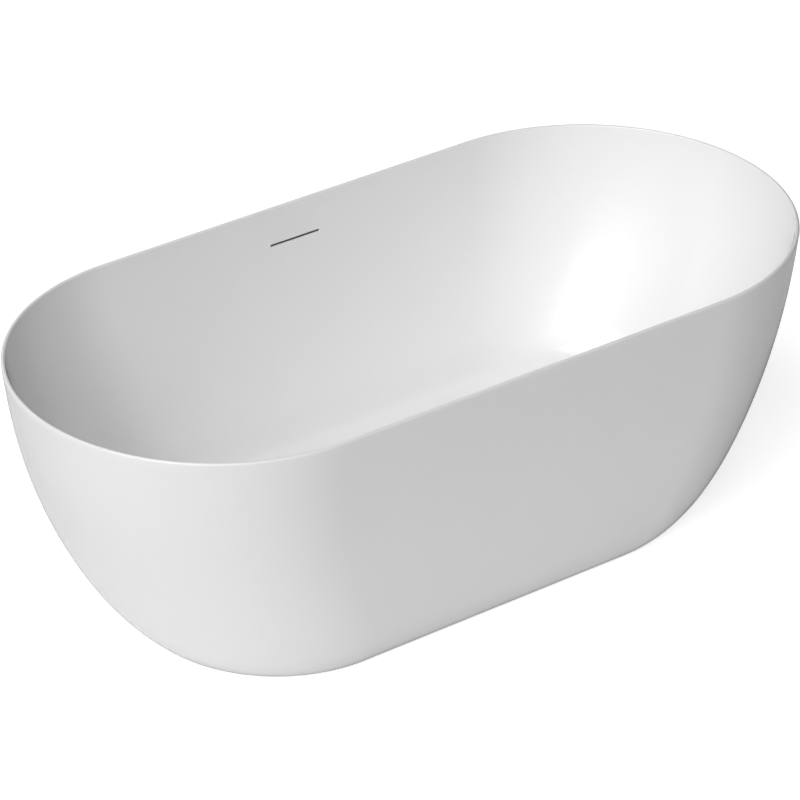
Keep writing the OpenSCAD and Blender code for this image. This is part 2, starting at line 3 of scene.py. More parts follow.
import bmesh
import bpy
import json
import math
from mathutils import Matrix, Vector


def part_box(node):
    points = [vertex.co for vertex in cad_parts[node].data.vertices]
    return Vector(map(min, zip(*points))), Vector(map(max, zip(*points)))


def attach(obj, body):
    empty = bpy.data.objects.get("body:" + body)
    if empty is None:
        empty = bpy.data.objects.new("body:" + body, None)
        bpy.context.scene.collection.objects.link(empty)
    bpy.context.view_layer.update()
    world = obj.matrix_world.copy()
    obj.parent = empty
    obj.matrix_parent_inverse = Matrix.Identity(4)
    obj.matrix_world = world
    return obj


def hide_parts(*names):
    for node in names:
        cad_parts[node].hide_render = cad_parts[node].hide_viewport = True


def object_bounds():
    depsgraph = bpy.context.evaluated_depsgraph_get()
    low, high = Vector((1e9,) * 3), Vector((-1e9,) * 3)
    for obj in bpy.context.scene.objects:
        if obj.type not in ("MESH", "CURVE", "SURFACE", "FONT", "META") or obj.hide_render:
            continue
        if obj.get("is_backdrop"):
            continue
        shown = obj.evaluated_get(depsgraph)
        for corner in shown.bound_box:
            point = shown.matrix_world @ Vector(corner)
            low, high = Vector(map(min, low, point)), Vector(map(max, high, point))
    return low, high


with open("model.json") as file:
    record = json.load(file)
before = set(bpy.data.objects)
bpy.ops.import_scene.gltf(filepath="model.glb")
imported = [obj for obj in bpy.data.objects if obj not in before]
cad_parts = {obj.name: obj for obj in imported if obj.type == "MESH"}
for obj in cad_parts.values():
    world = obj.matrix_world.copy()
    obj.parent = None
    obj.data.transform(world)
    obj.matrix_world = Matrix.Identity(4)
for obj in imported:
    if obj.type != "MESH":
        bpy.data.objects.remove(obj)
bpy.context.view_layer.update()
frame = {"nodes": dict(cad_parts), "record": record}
NODES = frame["nodes"]
MM = 0.001

# ---------------------------------------------------------------- camera

view_settings = bpy.context.scene.view_settings
view_settings.view_transform = "Standard"
camera_data = bpy.data.cameras.new("camera")
camera_data.lens = 199.72
camera_data.sensor_width = 36
camera = bpy.data.objects.new("camera", camera_data)
camera.location = (-4.2659, -5.8340, 4.6068)
camera.rotation_euler = Vector((0.50595, 0.69587, -0.50968)).to_track_quat("-Z", "Y").to_euler()
bpy.context.scene.collection.objects.link(camera)
bpy.context.scene.camera = camera

# ---------------------------------------------------------------- finishes


class Value:
    """An output of a node tree, on which Python's arithmetic adds Math nodes."""

    def __init__(self, board, socket):
        self.board = board
        self.socket = socket

    def __add__(self, other):
        return self.board.maths("ADD", self, other)

    def __sub__(self, other):
        return self.board.maths("SUBTRACT", self, other)

    def __rsub__(self, other):
        return self.board.maths("SUBTRACT", other, self)

    def __mul__(self, other):
        return self.board.maths("MULTIPLY", self, other)

    __radd__ = __add__
    __rmul__ = __mul__


class Board:
    """The node tree of one finish, or of the surroundings."""

    def __init__(self, tree):
        self.tree = tree

    def add(self, kind, inputs, output=0, **settings):
        """One node: its settings first, then the values or links of its sockets."""
        node = self.tree.nodes.new(kind)
        for name, value in settings.items():
            setattr(node, name, value)
        for name, value in inputs.items():
            self.feed(node.inputs[name], value)
        return Value(self, node.outputs[output])

    def feed(self, socket, value):
        if isinstance(value, Value):
            self.tree.links.new(value.socket, socket)
        else:
            socket.default_value = value

    def maths(self, operation, first, second=0.0):
        return self.add("ShaderNodeMath", {0: first, 1: second}, operation=operation)

    def place(self, scale=(1, 1, 1), turn=(0, 0, 0)):
        """The point on the piece, in metres, stretched and turned for a pattern."""
        point = self.add("ShaderNodeTexCoord", {}, output="Object")
        return self.add("ShaderNodeMapping", {"Vector": point, "Rotation": turn, "Scale": scale})

    def noise(self, scale, detail=2.0, stretch=(1, 1, 1)):
        inputs = {"Vector": self.place(stretch), "Scale": scale, "Detail": detail}
        return self.add("ShaderNodeTexNoise", inputs)

    def blend(self, share, first, second):
        inputs = {0: share, 6: first, 7: second}
        return self.add("ShaderNodeMix", inputs, output=2, data_type="RGBA")

    def bump(self, height, depth, below=None):
        inputs = {"Height": height, "Distance": depth, "Strength": 1.0}
        if below:
            inputs["Normal"] = below
        return self.add("ShaderNodeBump", inputs)


def shade(colour, factor):
    """A colour made lighter or darker, with full alpha."""
    return tuple(min(1.0, part * factor) for part in colour[:3]) + (1.0,)


COLOURS = {m["slot"]: m["base_color"] for m in frame["record"]["materials"]}


def begin_finish(slot, metallic=0.0):
    """A new material with its metalness set; also returns its board and its shader."""
    material = bpy.data.materials.new(slot)
    material.use_nodes = True
    shader = material.node_tree.nodes["Principled BSDF"]
    shader.inputs["Metallic"].default_value = metallic
    return material, Board(material.node_tree), shader


def moulded(slot, roughness, spread, patch, grain, depth, tone=0.08, metallic=0.0, stretch=(1, 1, 1)):
    """A finish with patches of tone and gloss, and a fine grain that may run along one axis."""
    material, board, shader = begin_finish(slot, metallic)
    colour = COLOURS[slot]
    patches = board.noise(patch, 3.0)
    fine = board.noise(grain, 4.0, stretch)
    patchy = board.blend(patches, shade(colour, 1 - tone), shade(colour, 1 + tone))
    board.feed(shader.inputs["Base Color"], patchy)
    board.feed(shader.inputs["Roughness"], roughness + spread * (patches * 0.6 + fine * 0.4 - 0.5))
    board.feed(shader.inputs["Normal"], board.bump(fine, depth))
    return material


def gloss_acrylic(slot, roughness):
    """Cast acrylic: an even, neutral white, a long slow ripple from forming and a trace of orange peel."""
    material, board, shader = begin_finish(slot)
    colour = COLOURS[slot][:1] * 3
    slow = board.noise(2.6, 1.0)
    peel = board.noise(260.0, 1.0)
    wiped = board.noise(9.0, 4.0)
    shader.inputs["IOR"].default_value = 1.49
    board.feed(shader.inputs["Base Color"], board.blend(slow, shade(colour, 0.985), shade(colour, 1.01)))
    board.feed(shader.inputs["Roughness"], roughness + 0.03 * wiped)
    ripple = board.bump(slow, 0.0012)
    board.feed(shader.inputs["Normal"], board.bump(peel, 0.000004, ripple))
    return material


PLY_PAIR = 5 * MM


def plywood(slot):
    """Plywood: long grain on the faces, thin plies of two tones along the edge."""
    material, board, shader = begin_finish(slot)
    colour = COLOURS[slot]
    grain = board.noise(14.0, 6.0, (1.0, 9.0, 1.0))
    pores = board.noise(160.0, 2.0, (0.12, 1.0, 1.0))
    height = board.add("ShaderNodeSeparateXYZ", {"Vector": board.place()}, output="Z")
    ply = board.maths("SINE", height * (2 * math.pi / PLY_PAIR) + grain * 0.6) * 0.5 + 0.5
    facing = board.add("ShaderNodeNewGeometry", {}, output="Normal")
    upright = board.add("ShaderNodeSeparateXYZ", {"Vector": facing}, output="Z")
    edge = board.maths("LESS_THAN", board.maths("ABSOLUTE", upright), 0.5)
    face_tone = board.blend(grain, shade(colour, 0.78), shade(colour, 1.12))
    edge_tone = board.blend(ply, shade(colour, 0.55), shade(colour, 1.08))
    board.feed(shader.inputs["Base Color"], board.blend(edge, face_tone, edge_tone))
    board.feed(shader.inputs["Roughness"], 0.62 + 0.2 * pores)
    board.feed(shader.inputs["Normal"], board.bump(pores + grain * 0.5, 0.0003))
    return material


def zinc_coat(slot):
    """Hot-dip zinc: spangles of slightly different tone and gloss."""
    material, board, shader = begin_finish(slot, metallic=0.9)
    colour = COLOURS[slot]
    cells = board.add("ShaderNodeTexVoronoi", {"Vector": board.place(), "Scale": 120.0}, output="Color")
    spangle = board.add("ShaderNodeSeparateColor", {"Color": cells})
    cloudy = board.noise(30.0, 3.0)
    board.feed(shader.inputs["Base Color"], board.blend(spangle, shade(colour, 0.82), shade(colour, 1.14)))
    board.feed(shader.inputs["Roughness"], 0.34 + 0.14 * spangle + 0.12 * cloudy)
    board.feed(shader.inputs["Normal"], board.bump(cloudy, 0.00005))
    return material


FINISHES = {
    "acrylic": gloss_acrylic("acrylic", 0.05),
    "white_gloss_drain": gloss_acrylic("white_gloss_drain", 0.12),
    "adhesive": moulded("adhesive", 0.7, 0.2, 25.0, 300.0, 0.0004),
    "board": plywood("board"),
    "galvanised": zinc_coat("galvanised"),
    "zinc_screws": moulded("zinc_screws", 0.22, 0.1, 60.0, 500.0, 0.00003, metallic=1.0),
    "black_plastic": moulded("black_plastic", 0.5, 0.15, 40.0, 900.0, 0.00008, tone=0.2),
    "foam": moulded("foam", 0.85, 0.1, 30.0, 700.0, 0.0006, tone=0.06),
    "seal_rubber": moulded("seal_rubber", 0.6, 0.15, 50.0, 600.0, 0.00005, tone=0.25),
    "chamber_plastic": moulded("chamber_plastic", 0.45, 0.12, 30.0, 900.0, 0.00006, tone=0.1),
    "hose_plastic": moulded("hose_plastic", 0.42, 0.1, 40.0, 500.0, 0.00003, tone=0.06),
    "clamp_steel": moulded("clamp_steel", 0.3, 0.1, 60.0, 700.0, 0.00003, metallic=1.0, stretch=(1, 1, 20)),
    "ivory_plastic": moulded("ivory_plastic", 0.38, 0.1, 25.0, 800.0, 0.00004, tone=0.03),
    "stem_steel": moulded("stem_steel", 0.25, 0.1, 60.0, 900.0, 0.00002, metallic=1.0, stretch=(1, 1, 30)),
}

# ---------------------------------------------------------------- workbench


def edit(part="VERT"):
    bpy.ops.object.mode_set(mode="EDIT")
    bpy.ops.mesh.select_mode(type=part)
    bpy.ops.mesh.select_all(action="DESELECT")


def leave():
    bpy.ops.object.mode_set(mode="OBJECT")


def pick(kind, test):
    """Selects, in the mesh being edited, only the points, edges or faces that the test holds for."""
    bpy.ops.mesh.select_all(action="DESELECT")
    mesh = bpy.context.edit_object.data
    shape = bmesh.from_edit_mesh(mesh)
    for part in getattr(shape, kind):
        if test(part):
            part.select_set(True)
    shape.select_flush_mode()
    bmesh.update_edit_mesh(mesh)


def middle(edge):
    return (edge.verts[0].co + edge.verts[1].co) / 2


def alone(piece):
    """Makes one object the only selected and active one."""
    bpy.ops.object.select_all(action="DESELECT")
    piece.select_set(True)
    bpy.context.view_layer.objects.active = piece


def settle(name):
    """Names the new primitive and puts its place and turn into its mesh."""
    piece = bpy.context.object
    piece.name = name
    piece.data.name = name
    alone(piece)
    bpy.ops.object.transform_apply(location=True, rotation=True, scale=True)
    return piece


def modify(piece, kind, **settings):
    """Adds one modifier and applies it."""
    alone(piece)
    bpy.ops.object.modifier_add(type=kind)
    modifier = piece.modifiers[-1]
    for name, value in settings.items():
        setattr(modifier, name, value)
    bpy.ops.object.modifier_apply(modifier=modifier.name)


def ease(piece, width, segments=2, angle=30):
    """Rounds the edges that are sharper than the angle."""
    modify(piece, "BEVEL", width=width, segments=segments, limit_method="ANGLE",
           angle_limit=math.radians(angle), use_clamp_overlap=True)


def hand_over(piece, body, slot, nodes, smooth=35):
    """Gives a finished piece its finish and its body, and hides the solids that it stands for."""
    alone(piece)
    bpy.ops.object.shade_smooth_by_angle(angle=math.radians(smooth))
    piece.data.materials.clear()
    piece.data.materials.append(FINISHES[slot])
    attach(piece, body)
    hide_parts(*nodes)
    return piece


# ---------------------------------------------------------------- shells

skirt_low, skirt_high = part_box("outer_skirt")
basin_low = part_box("basin_left")[0]
basin_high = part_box("basin_right")[1]
HALF_WIDTH = basin_high.y
END_REACH = basin_high.x - HALF_WIDTH
TOP = basin_high.z
RIM_RADIUS = 4 * MM
WALL_TOP = TOP - RIM_RADIUS
LIP_Z = skirt_high.z
FOOT_Z = skirt_low.z
FLANGE_TOP = FOOT_Z + 6 * MM
WALL = 3.5 * MM
SKIRT_TAPER = 55 * MM
SKIRT_ROLL = 71 * MM
SKIRT_SLOPE = 119 * MM
SKIRT_FLANGE = 25 * MM
BASIN_TAPER = 95 * MM
BASIN_ROLL = 72 * MM
BASIN_SLOPE = 80 * MM
FLOOR_UNDER = basin_low.z
FLOOR_Z = FLOOR_UNDER + 10 * MM
FLOOR_FALL = 5 * MM
RECESS_Z = FLOOR_Z - FLOOR_FALL - 2 * MM
ROUND_POINTS = 192


def skirt_ring(share, inset=0.0, depth=WALL_TOP - FOOT_Z):
    """The skirt's outline at a share of its depth: half width, reach of its end centres, height."""
    roll = SKIRT_ROLL * (1 - (1 - share**7.5) ** 0.92)
    half = HALF_WIDTH - SKIRT_TAPER * share - roll
    reach = END_REACH - SKIRT_SLOPE * (1 - (1 - share**2.4) ** 1.7)
    return half - inset, reach, WALL_TOP - share * depth


def basin_ring(share, inset=0.0, depth=WALL_TOP - FLOOR_Z):
    """The basin's inner outline at a share of its depth."""
    roll = BASIN_ROLL * (1 - (1 - share**5) ** 0.45)
    half = HALF_WIDTH - 2 * RIM_RADIUS - BASIN_TAPER * share - roll
    reach = END_REACH - BASIN_SLOPE * (1 - (1 - share**2.4) ** 1.7)
    return half - inset, reach, WALL_TOP - share * depth


def shares(start, count, power):
    """Shares of a depth from start to 1, closer together near 1."""
    return [start + (1 - start) * (1 - (1 - i / count) ** power) for i in range(count + 1)]


def part_ends(distance):
    """Moves the selected ring's two ends apart, which makes a circle a stadium."""
    shape = bmesh.from_edit_mesh(bpy.context.edit_object.data)
    ring = [point for point in shape.verts if point.select]
    for side in (1, -1):
        for point in ring:
            point.select_set(point.co.x * side > 0)
        shape.select_flush_mode()
        bpy.ops.transform.translate(value=(side * distance, 0, 0))
    for point in ring:
        point.select_set(True)
    shape.select_flush(True)


def stadium_shell(name, rings):
    """A shell drawn out from one circle through stadium rings and joined to its own start."""
    half, reach, height = rings[0]
    bpy.ops.object.select_all(action="DESELECT")
    bpy.ops.mesh.primitive_circle_add(vertices=ROUND_POINTS, radius=half, location=(0, 0, height),
                                      rotation=(0, 0, math.pi / ROUND_POINTS))
    piece = settle(name)
    edit()
    bpy.ops.mesh.select_all(action="SELECT")
    part_ends(reach)
    for next_half, next_reach, next_height in rings[1:]:
        size = next_half / half
        bpy.ops.mesh.extrude_region_move(TRANSFORM_OT_translate={"value": (0, 0, next_height - height)})
        bpy.ops.transform.resize(value=(size, size, 1), center_override=(0, 0, 0))
        part_ends(next_reach - reach * size)
        half, reach, height = next_half, next_reach, next_height
    pick("edges", lambda edge: edge.is_boundary)
    bpy.ops.mesh.bridge_edge_loops()
    bpy.ops.mesh.select_all(action="SELECT")
    bpy.ops.mesh.normals_make_consistent(inside=False)
    leave()
    return piece


drain_low, drain_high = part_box("drain_flange")
RECESS_RADIUS = drain_high.x + 4 * MM
HOLE_RADIUS = drain_high.x - 10 * MM

lip_share = (WALL_TOP - LIP_Z) / (WALL_TOP - FOOT_Z)
back_depth = WALL_TOP - FLOOR_UNDER
back_lip_share = (WALL_TOP - LIP_Z) / back_depth
floor_half, floor_reach, _ = basin_ring(1)


def dish(share):
    """The floor from the foot of its cove down to the drain recess."""
    fall = FLOOR_FALL * (3 * share**2 - 2 * share**3)
    edge_half = RECESS_RADIUS + 4 * MM
    return floor_half + (edge_half - floor_half) * share, floor_reach * (1 - share) ** 1.3, FLOOR_Z - fall


basin_rings = [(HOLE_RADIUS, 0, FLOOR_UNDER), (floor_half * 0.6, floor_reach * 0.5, FLOOR_UNDER)]
basin_rings += [basin_ring(s, -WALL, back_depth) for s in reversed(shares(back_lip_share, 30, 2.0))]
basin_rings.append(skirt_ring(lip_share))
basin_rings += [(HALF_WIDTH - RIM_RADIUS + RIM_RADIUS * math.cos(math.pi * i / 12), END_REACH,
                 WALL_TOP + RIM_RADIUS * math.sin(math.pi * i / 12)) for i in range(13)]
basin_rings += [basin_ring(s) for s in shares(0, 36, 2.0)[1:]]
basin_rings += [dish(i / 10) for i in range(1, 11)]
basin_rings += [(RECESS_RADIUS + 3 * MM, 0, FLOOR_Z - FLOOR_FALL - 0.2 * MM),
                (RECESS_RADIUS + 0.8 * MM, 0, RECESS_Z + 0.2 * MM),
                (RECESS_RADIUS, 0, RECESS_Z), (HOLE_RADIUS, 0, RECESS_Z)]
basin = stadium_shell("basin_shell", basin_rings)

SLOT_HALF = 57.5 * MM
SLOT_Z = TOP - 72 * MM
SLOT_RISE = 2.5 * MM
SLOT_EDGE = 2 * MM


def near_slot(face):
    """True for the rear wall's faces, inside and behind, at about the slot's height."""
    place = face.calc_center_median()
    on_rear_wall = place.y > HALF_WIDTH - 60 * MM and abs(place.x) < END_REACH and abs(face.normal.y) > 0.7
    return on_rear_wall and abs(place.z - SLOT_Z) < 45 * MM


def in_slot(point):
    """True for a point within the slot's outline, seen from the front."""
    return abs(point.x) < SLOT_HALF + 0.1 * MM and abs(point.z - SLOT_Z) < SLOT_RISE + 0.1 * MM


# The slot's own edges, and a second line close round them that keeps the wall's shading even.
edit("FACE")
for reach in (SLOT_HALF, SLOT_HALF + SLOT_EDGE):
    for side in (reach, -reach):
        pick("faces", near_slot)
        bpy.ops.mesh.bisect(plane_co=(side, 0, 0), plane_no=(1, 0, 0))
for rise in (SLOT_RISE, SLOT_RISE + SLOT_EDGE):
    for level in (SLOT_Z + rise, SLOT_Z - rise):
        pick("faces", lambda face: near_slot(face) and abs(face.calc_center_median().x) < SLOT_HALF)
        bpy.ops.mesh.bisect(plane_co=(0, 0, level), plane_no=(0, 0, 1))
pick("faces", lambda face: near_slot(face) and in_slot(face.calc_center_median()))
bpy.ops.mesh.delete(type="FACE")
bpy.ops.mesh.select_mode(type="EDGE")
pick("edges", lambda edge: edge.is_boundary)
bpy.ops.mesh.bridge_edge_loops()
slot_face = HALF_WIDTH - 2 * RIM_RADIUS - BASIN_TAPER * (WALL_TOP - SLOT_Z) / (WALL_TOP - FLOOR_Z)
pick("edges", lambda edge: in_slot(edge.verts[0].co) and in_slot(edge.verts[1].co)
     and abs(middle(edge).y - slot_face) < 1.2 * MM)
bpy.ops.mesh.bevel(offset=0.7 * MM, segments=2, affect="EDGES")
leave()
hand_over(basin, "bath", "acrylic", ["basin_left", "basin_right"])

skirt_depth = WALL_TOP - FLANGE_TOP
skirt_lip_share = (WALL_TOP - LIP_Z) / skirt_depth
base_half, base_reach, _ = skirt_ring(1)
flange_half = base_half - SKIRT_FLANGE
skirt_rings = [skirt_ring(s) for s in shares(lip_share, 44, 1.8)[:-1]]
skirt_rings += [(base_half, base_reach, FOOT_Z + 0.6 * MM), (base_half - 0.6 * MM, base_reach, FOOT_Z),
                (flange_half + 0.5 * MM, base_reach, FOOT_Z), (flange_half, base_reach, FOOT_Z + 0.5 * MM),
                (flange_half, base_reach, FLANGE_TOP - 0.5 * MM),
                (flange_half + 0.5 * MM, base_reach, FLANGE_TOP)]
skirt_rings += [skirt_ring(s, WALL, skirt_depth) for s in reversed(shares(skirt_lip_share, 36, 1.8))]
skirt = stadium_shell("skirt_shell", skirt_rings)
hand_over(skirt, "bath", "acrylic", ["outer_skirt"])

# ---------------------------------------------------------------- smaller work


def turned(name, centre, profile, sides=64, ring=False):
    """A piece turned about the upright line through centre, from corners (radius, height).
    A ring's last corner is joined to its first; any other piece has a flat face at each end."""
    radius, height = profile[0]
    bpy.ops.object.select_all(action="DESELECT")
    bpy.ops.mesh.primitive_circle_add(vertices=sides, radius=radius, fill_type="NOTHING" if ring else "NGON",
                                      location=(centre[0], centre[1], height))
    piece = settle(name)
    edit()
    bpy.ops.mesh.select_all(action="SELECT")
    for next_radius, next_height in profile[1:]:
        size = next_radius / radius
        bpy.ops.mesh.extrude_region_move(TRANSFORM_OT_translate={"value": (0, 0, next_height - height)})
        bpy.ops.transform.resize(value=(size, size, 1), center_override=(centre[0], centre[1], 0))
        radius, height = next_radius, next_height
    if ring:
        pick("edges", lambda edge: edge.is_boundary)
        bpy.ops.mesh.bridge_edge_loops()
    bpy.ops.mesh.select_all(action="SELECT")
    bpy.ops.mesh.normals_make_consistent(inside=False)
    leave()
    return piece


def block(name, low, high):
    """A box to start a piece from."""
    bpy.ops.object.select_all(action="DESELECT")
    bpy.ops.mesh.primitive_cube_add(size=1, location=(low + high) / 2, scale=high - low)
    return settle(name)


def rod(name, place, radius, low, high, sides=48):
    """An upright rod, to start a piece from or to cut with."""
    bpy.ops.object.select_all(action="DESELECT")
    bpy.ops.mesh.primitive_cylinder_add(vertices=sides, radius=radius, depth=high - low,
                                        location=(place[0], place[1], (low + high) / 2))
    return settle(name)


def cut(piece, *tools, operation="DIFFERENCE"):
    """Cuts the tools' shapes out of a piece, and clears the tools away."""
    for tool in tools:
        modify(piece, "BOOLEAN", object=tool, operation=operation, solver="EXACT")
        bpy.data.objects.remove(tool)
    return piece


def moved(piece, place, turn=(0, 0, 0)):
    """Turns a piece and puts it in place, in its mesh."""
    piece.rotation_euler = turn
    piece.location = place
    alone(piece)
    bpy.ops.object.transform_apply(location=True, rotation=True, scale=True)
    return piece


def copied(piece, place, turn=(0, 0, 0)):
    """A copy with a mesh of its own."""
    twin = bpy.data.objects.new(piece.name + "_copy", piece.data.copy())
    bpy.context.scene.collection.objects.link(twin)
    return moved(twin, place, turn)


def joined(name, pieces):
    """Several meshes made one piece."""
    alone(pieces[0])
    for piece in pieces[1:]:
        piece.select_set(True)
    if len(pieces) > 1:
        bpy.ops.object.join()
    pieces[0].name = name
    pieces[0].data.name = name
    return pieces[0]


def repeated(name, pattern, places):
    """One piece made of a pattern copied to several places; the pattern itself is cleared away."""
    piece = joined(name, [copied(pattern, place) for place in places])
    bpy.data.objects.remove(pattern)
    return piece


def eased_copy(node, name, width, segments=2):
    """A copy of a plain solid, with whole faces and rounded edges."""
    piece = bpy.data.objects.new(name, NODES[node].data.copy())
    bpy.context.scene.collection.objects.link(piece)
    alone(piece)
    bpy.ops.mesh.customdata_custom_splitnormals_clear()
    edit()
    bpy.ops.mesh.select_all(action="SELECT")
    bpy.ops.mesh.remove_doubles(threshold=0.002 * MM)
    bpy.ops.mesh.dissolve_limited(angle_limit=math.radians(0.5))
    leave()
    ease(piece, width, segments)
    return piece


def thread(name, root, crest, pitch, low, turns, steps=20):
    """A real screw thread round the Z axis: one tooth's outline run up a helix, with its ends closed."""
    bpy.ops.object.select_all(action="DESELECT")
    bpy.ops.mesh.primitive_plane_add(size=pitch, rotation=(math.pi / 2, 0, 0))
    piece = settle(name)
    edit("EDGE")
    bpy.ops.mesh.select_all(action="SELECT")
    bpy.ops.mesh.delete(type="ONLY_FACE")
    pick("edges", lambda side: middle(side).x < -0.4 * pitch)
    bpy.ops.mesh.delete(type="EDGE")
    bpy.ops.mesh.select_mode(type="VERT")
    pick("verts", lambda point: point.co.x > 0)
    bpy.ops.transform.resize(value=(1, 1, 0.3), center_override=(0, 0, 0))
    bpy.ops.transform.translate(value=(crest - pitch / 2, 0, 0))
    pick("verts", lambda point: point.co.x < root * 0.5)
    bpy.ops.transform.translate(value=(root + pitch / 2, 0, 0))
    leave()
    modify(piece, "SCREW", axis="Z", angle=2 * math.pi, screw_offset=pitch, iterations=turns, steps=steps,
           render_steps=steps, use_merge_vertices=True, merge_threshold=0.001 * MM)
    top = pitch * turns
    edit()
    for floor_z, ceiling_z in ((-pitch, pitch * 0.51), (top - pitch * 0.51, top + pitch)):
        pick("verts", lambda point: abs(point.co.y) < 0.001 * MM and point.co.x > 0
             and floor_z < point.co.z < ceiling_z)
        bpy.ops.mesh.edge_face_add()
    bpy.ops.mesh.select_all(action="SELECT")
    bpy.ops.mesh.normals_make_consistent(inside=False)
    leave()
    return moved(piece, (0, 0, low + pitch / 2))


def hex_nut(name, radius, bore, low, high, sides=6):
    """A nut with its corners turned down at both faces."""
    nut = rod(name, (0, 0), radius, low, high, sides)
    skim = 0.12 * radius
    spare = 0.01 * MM
    blank = turned("blank", (0, 0), [(radius - 1.5 * skim, low - spare), (radius + spare, low + skim),
                                     (radius + spare, high - skim), (radius - 1.5 * skim, high + spare)])
    cut(nut, blank, operation="INTERSECT")
    cut(nut, rod("bore", (0, 0), bore, low - MM, high + MM))
    ease(nut, 0.25 * MM)
    return nut


def screw(name, head_low, head_high, radius, top):
    """A pan-head screw with a cross recess, head downwards, round the Z axis."""
    head = turned(name, (0, 0), [
        (1.04 * radius, head_low), (1.72 * radius, head_low + 0.5 * MM), (2 * radius, head_low + 1.5 * MM),
        (2 * radius, head_high), (radius, head_high), (radius, top - 2 * MM), (0.4 * radius, top)], sides=32)
    arm, reach, deep = 0.5 * MM, 2.4 * MM, 1.6 * MM
    cut(head, block("arm", Vector((-arm, -reach, head_low - MM)), Vector((arm, reach, head_low + deep))),
        block("arm", Vector((-reach, -arm, head_low - MM)), Vector((reach, arm, head_low + deep))))
    ease(head, 0.12 * MM, 1)
    return head


def square_tube(name, node, along, holes=()):
    """A steel tube with rounded corners and an open bore, where its solid is."""
    low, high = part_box(node)
    piece = block(name, low, high)
    edit("FACE")
    pick("faces", lambda face: abs(face.normal[along]) > 0.9)
    bpy.ops.mesh.delete(type="FACE")
    bpy.ops.mesh.select_mode(type="EDGE")
    pick("edges", lambda side: abs((side.verts[0].co - side.verts[1].co).normalized()[along]) > 0.9)
    bpy.ops.mesh.bevel(offset=2.5 * MM, segments=4, affect="EDGES")
    leave()
    modify(piece, "SOLIDIFY", thickness=1.5 * MM, offset=-1)
    for place, radius in holes:
        cut(piece, rod("hole", place, radius, low.z - MM, high.z + MM))
    ease(piece, 0.3 * MM)
    return piece


FEET = ("front_left", "front_right", "rear_left", "rear_right")
stud_low, stud_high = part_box("stud_front_right")
FOOT = ((stud_low.x + stud_high.x) / 2, -(stud_low.y + stud_high.y) / 2)
FOOT_PLACES = {foot: (FOOT[0] * (1 if "right" in foot else -1), FOOT[1] * (1 if "rear" in foot else -1), 0)
               for foot in FEET}
STUD = 6 * MM
STUD_ROOT = 5.1 * MM
NUT_CORNER = 1.8 * STUD
PITCH = 1.75 * MM
SCREW_SHANK = 2.5 * MM
SCREW_HEAD = 3 * MM
SCREW_REACH = 5 * MM

# Frame under the basin.
rail_low, rail_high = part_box("rail_front")
screw_low, screw_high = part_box("board_screws")
RAIL_Y = (rail_low.y + rail_high.y) / 2
SCREW_X = screw_high.x - SCREW_REACH
screw_places = [(x, y, 0) for x in (-SCREW_X, 0, SCREW_X) for y in (-RAIL_Y, RAIL_Y)]
for node, side in (("rail_front", RAIL_Y), ("rail_rear", -RAIL_Y)):
    holes = [((x, side), SCREW_SHANK + 0.1 * MM) for x in (-SCREW_X, 0, SCREW_X)]
    hand_over(square_tube(node + "_tube", node, 0, holes), "bath", "galvanised", [node])
for node, side in (("cross_member_left", -1), ("cross_member_right", 1)):
    holes = [((side * FOOT[0], y), STUD + 0.3 * MM) for y in (-FOOT[1], FOOT[1])]
    hand_over(square_tube(node + "_tube", node, 1, holes), "bath", "galvanised", [node])
hand_over(eased_copy("base_board", "base_board_sheet", 0.8 * MM), "bath", "board", ["base_board"])
hand_over(eased_copy("rail_caps", "rail_end_caps", 0.7 * MM), "bath", "black_plastic", ["rail_caps"])
hand_over(eased_copy("skirt_brackets", "skirt_angles", 0.9 * MM, 3), "bath", "galvanised", ["skirt_brackets"])
hand_over(eased_copy("wall_spacers", "foam_blocks", 1.5 * MM), "bath", "foam", ["wall_spacers"])
pattern = screw("pan_head", screw_low.z, screw_low.z + SCREW_HEAD, SCREW_SHANK, screw_high.z)
hand_over(repeated("board_screw_set", pattern, screw_places), "bath", "zinc_screws", ["board_screws"])

# Bracket screws point down, so their pattern is turned over.
bracket_low, bracket_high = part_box("bracket_screws")
BRACKET_Y = bracket_high.y - SCREW_REACH
pattern = screw("pan_head", -bracket_high.z, SCREW_HEAD - bracket_high.z, SCREW_SHANK, -bracket_low.z)
moved(pattern, (0, 0, 0), (math.pi, 0, 0))
bracket_places = [(x, y, 0) for x in (-FOOT[0], FOOT[0]) for y in (-BRACKET_Y, BRACKET_Y)]
hand_over(repeated("bracket_screw_set", pattern, bracket_places), "bath", "zinc_screws", ["bracket_screws"])

# Levelling feet.
for node, slot in (("weld_nuts", "galvanised"), ("lock_nuts", "zinc_screws")):
    low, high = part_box(node)
    pattern = hex_nut("nut", NUT_CORNER, STUD + 0.05 * MM, low.z, high.z)
    hand_over(repeated(node + "_set", pattern, FOOT_PLACES.values()), "bath", slot, [node])
core = turned("core", (0, 0), [(4.6 * MM, stud_low.z), (5.15 * MM, stud_low.z + 0.6 * MM),
                               (5.15 * MM, stud_high.z - MM), (4 * MM, stud_high.z)], sides=32)
plain = turned("plain", (0, 0), [(5.4 * MM, stud_low.z), (STUD, stud_low.z + 0.6 * MM), (STUD, 16.5 * MM)],
               sides=40)
spanner = hex_nut("spanner", NUT_CORNER, 5 * MM, 16 * MM, 22 * MM)
turns = int((stud_high.z - 24 * MM) / PITCH) - 1
stud = joined("stud", [core, plain, spanner, thread("tooth", STUD_ROOT, STUD, PITCH, 22.5 * MM, turns)])
PAD_SIDES = 96
